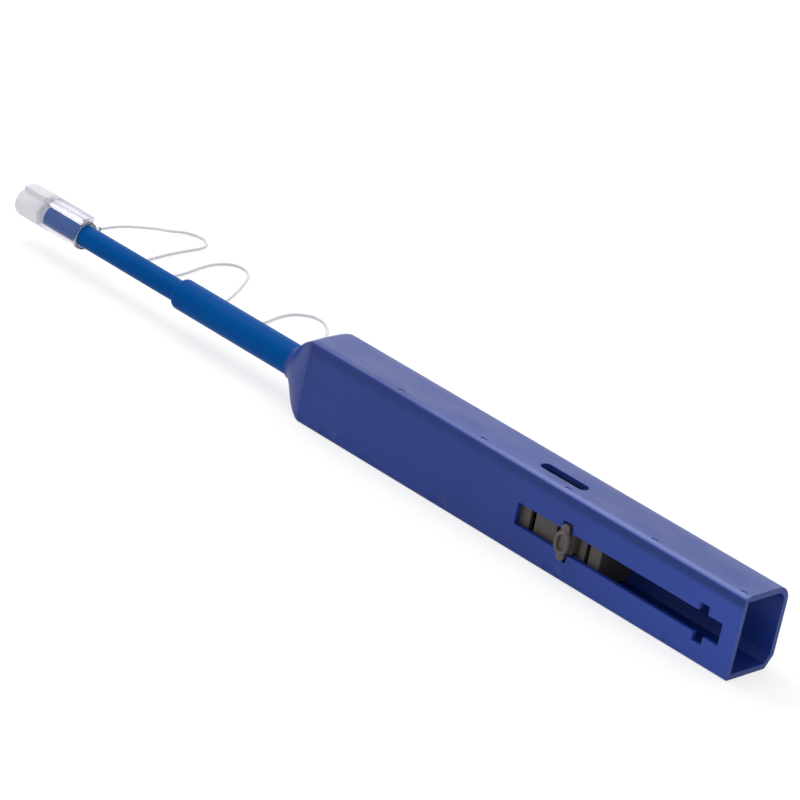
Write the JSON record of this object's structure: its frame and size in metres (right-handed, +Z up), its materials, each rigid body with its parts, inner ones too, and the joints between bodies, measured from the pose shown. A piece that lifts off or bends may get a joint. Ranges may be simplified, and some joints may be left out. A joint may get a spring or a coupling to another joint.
{
  "type": "fibre connector cleaning pen",
  "caption": "Push-to-clean pen for fibre connectors: open sleeve, sliding carriage with lock button, spring nozzle with turning thread tip, guide cap on a tether.",
  "frame": {"origin": "on the resting face, below the middle of the sleeve's length and width", "axes": "+X along the nozzle's axis to the sleeve's open rear, -Y to the side with the slot and button, +Z up"},
  "size_m": [0.2729, 0.0606, 0.023],
  "materials": {
    "sleeve_plastic": "deep blue-violet moulded ABS, satin",
    "nozzle_plastic": "bright blue moulded nylon, satin",
    "carriage_plastic": "black moulded plastic, matt",
    "button_plastic": "dark grey moulded plastic, matt",
    "spool_plastic": "natural acetal",
    "thread_fibre": "woven microfibre thread",
    "spring_steel": "drawn spring wire",
    "pin_steel": "ground steel pins",
    "shaft_plastic": "natural acetal, machined groove",
    "cap_plastic": "frosted translucent polypropylene",
    "tether_plastic": "pale translucent nylon line"
  },
  "bodies": {
    "sleeve": {"outer_sleeve": "sleeve_plastic", "side_cover": "sleeve_plastic", "tether_anchor": "sleeve_plastic", "tether_sleeve_length": "tether_plastic"},
    "carriage": {"carriage_frame": "carriage_plastic", "carriage_cover": "carriage_plastic", "supply_axle": "pin_steel", "take_up_axle": "pin_steel", "thread_roller": "pin_steel", "cleaning_thread": "thread_fibre", "ratchet_pawl": "spring_steel", "button_spring": "spring_steel", "return_spring": "spring_steel"},
    "button": {"lock_button": "button_plastic"},
    "nozzle": {"nozzle_barrel": "nozzle_plastic", "nozzle_tip_tube": "nozzle_plastic", "nozzle_rack": "spool_plastic", "cam_follower": "pin_steel", "tether_nozzle_length": "tether_plastic"},
    "shaft": {"rotation_shaft": "shaft_plastic", "cleaning_tip": "shaft_plastic"},
    "take_up": {"take_up_spool": "spool_plastic", "take_up_thread": "thread_fibre", "drive_gear": "spool_plastic", "ratchet_wheel": "spool_plastic"},
    "supply": {"supply_spool": "spool_plastic", "supply_thread": "thread_fibre"},
    "cap": {"guide_cap": "cap_plastic", "tether_cap_length": "tether_plastic"}
  },
  "joints": [
    {"name": "carriage_slide", "type": "slide", "parent": "sleeve", "child": "carriage", "axis": [1, 0, 0], "range_m": [0, 0.046], "deforming": ["tether_sleeve_length"]},
    {"name": "button_press", "type": "slide", "parent": "carriage", "child": "button", "axis": [0, 1, 0], "range_m": [0, 0.0016], "stiffness_N_per_m": 600, "springref_m": -0.0008, "deforming": ["button_spring"]},
    {"name": "nozzle_stroke", "type": "slide", "parent": "carriage", "child": "nozzle", "axis": [1, 0, 0], "range_m": [0, 0.01], "stiffness_N_per_m": 300, "springref_m": -0.005, "deforming": ["return_spring", "tether_nozzle_length"]},
    {"name": "shaft_spin", "type": "hinge", "parent": "carriage", "child": "shaft", "pos_m": [-0.0325, 0, 0.0104], "axis": [-1, 0, 0], "range_deg": [0, 180]},
    {"name": "take_up_spin", "type": "hinge", "parent": "carriage", "child": "take_up", "pos_m": [-0.0055, 0, 0.0115], "axis": [0, 1, 0], "range_deg": [0, 120], "deforming": ["ratchet_pawl"]},
    {"name": "supply_spin", "type": "hinge", "parent": "carriage", "child": "supply", "pos_m": [-0.0225, 0, 0.0115], "axis": [0, 1, 0], "range_deg": [0, 87]},
    {"name": "cap_pull", "type": "slide", "parent": "nozzle", "child": "cap", "axis": [-1, 0, 0], "range_m": [0, 0.018], "deforming": ["tether_cap_length"]}
  ],
  "couplings": [
    {"joint": "shaft_spin", "follows": "nozzle_stroke", "rad_per_m": 314.16},
    {"joint": "take_up_spin", "follows": "nozzle_stroke", "rad_per_m": 208.33},
    {"joint": "supply_spin", "follows": "nozzle_stroke", "rad_per_m": 150.71}
  ]
}
